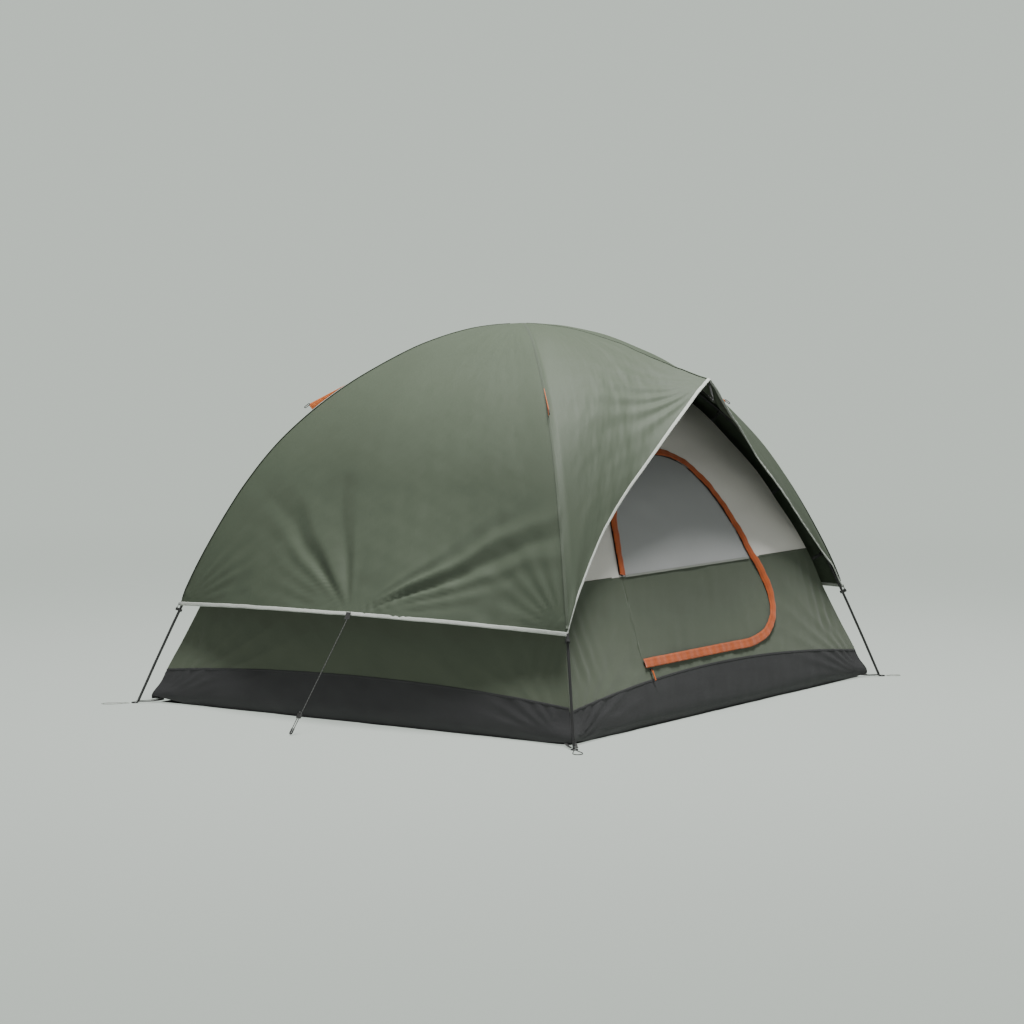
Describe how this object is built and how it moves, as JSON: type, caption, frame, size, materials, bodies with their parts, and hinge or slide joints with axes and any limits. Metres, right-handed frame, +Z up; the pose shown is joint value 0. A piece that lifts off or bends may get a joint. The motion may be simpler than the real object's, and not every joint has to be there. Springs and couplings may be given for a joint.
{
  "type": "dome tent",
  "caption": "Free-standing two-pole dome tent with crossed bent rods, mesh-window zip door, bathtub floor and a removable rainfly with a guyline.",
  "frame": {"origin": "centre of the rectangle formed by the four pole feet, on the ground under the tent's crown", "axes": "-Y faces the door side, +X runs along the door side to the door's right as seen from outside, +Z up"},
  "size_m": [2.6104, 2.1034, 1.4041],
  "materials": {
    "fly_cloth": "matte",
    "tent_cloth_green": "matte",
    "tent_cloth_grey": "matte",
    "mesh_grey": "matte",
    "groundsheet": "satin",
    "orange_webbing": "matte",
    "grey_binding": "matte",
    "black_webbing": "matte",
    "pole_black": "satin",
    "ferrule_metal": "satin",
    "black_plastic": "matte",
    "zip_metal": "satin",
    "cord_grey": "matte",
    "elastic_black": "matte"
  },
  "bodies": {
    "tent": {"tub_floor": "groundsheet", "tub_front": "groundsheet", "tub_rear": "groundsheet", "tub_left": "groundsheet", "tub_right": "groundsheet", "wall_front": "tent_cloth_green", "wall_rear": "tent_cloth_green", "wall_left": "tent_cloth_green", "wall_right": "tent_cloth_green", "canopy_front": "tent_cloth_grey", "canopy_rear": "tent_cloth_grey", "canopy_left": "tent_cloth_grey", "canopy_right": "tent_cloth_grey", "zip_tape_frame": "black_webbing", "pole_a_rods": "pole_black", "pole_a_ferrules": "ferrule_metal", "pole_a_shock_cord": "elastic_black", "pole_b_rods": "pole_black", "pole_b_ferrules": "ferrule_metal", "pole_b_shock_cord": "elastic_black", "foot_pins": "ferrule_metal", "corner_webbing": "black_webbing", "peg_loop_fl": "cord_grey", "peg_loop_fr": "cord_grey", "peg_loop_rr": "cord_grey", "peg_loop_rl": "cord_grey", "pole_clips": "black_plastic", "clip_straps": "black_webbing", "apex_hook": "black_plastic"},
    "door": {"door_panel": "tent_cloth_green", "door_window": "mesh_grey", "zip_tape_door": "black_webbing", "storm_flap": "orange_webbing", "window_binding": "grey_binding"},
    "zip_slider": {"zip_slider": "zip_metal"},
    "zip_pull": {"zip_pull": "black_plastic"},
    "rainfly": {"fly_left": "fly_cloth", "fly_right": "fly_cloth", "fly_rear": "fly_cloth", "fly_front_left": "fly_cloth", "fly_front_right": "fly_cloth", "hem_binding": "grey_binding", "brow_binding": "grey_binding", "ridge_pole": "pole_black", "ridge_pole_caps": "black_plastic", "ridge_pockets": "black_webbing", "guy_tabs": "orange_webbing", "guy_tab_loops": "black_webbing", "corner_hooks": "black_plastic", "hook_straps": "black_webbing", "hem_loop": "black_webbing", "guyline": "cord_grey", "guyline_sleeve": "black_webbing", "guyline_knot": "black_webbing"},
    "guy_runner": {"guyline_runner": "black_plastic"}
  },
  "joints": [
    {"name": "fly_lift", "type": "slide", "parent": "tent", "child": "rainfly", "axis": [0, 0, 1], "range_m": [0, 1.5]},
    {"name": "door_swing", "type": "hinge", "parent": "tent", "child": "door", "pos_m": [-0.52, -0.86393, 0.204], "axis": [0, -0.3137, -0.9495], "range_deg": [0, 45]},
    {"name": "zip_slide", "type": "slide", "parent": "tent", "child": "zip_slider", "axis": [1, 0, 0], "range_m": [0, 0.7]},
    {"name": "zip_pull_swing", "type": "hinge", "parent": "zip_slider", "child": "zip_pull", "pos_m": [-0.47, -0.87652, 0.19213], "axis": [-1, 0, 0], "range_deg": [0, 90]},
    {"name": "runner_slide", "type": "slide", "parent": "rainfly", "child": "guy_runner", "axis": [-0.6516, 0, -0.7585], "range_m": [0, 0.04]}
  ]
}
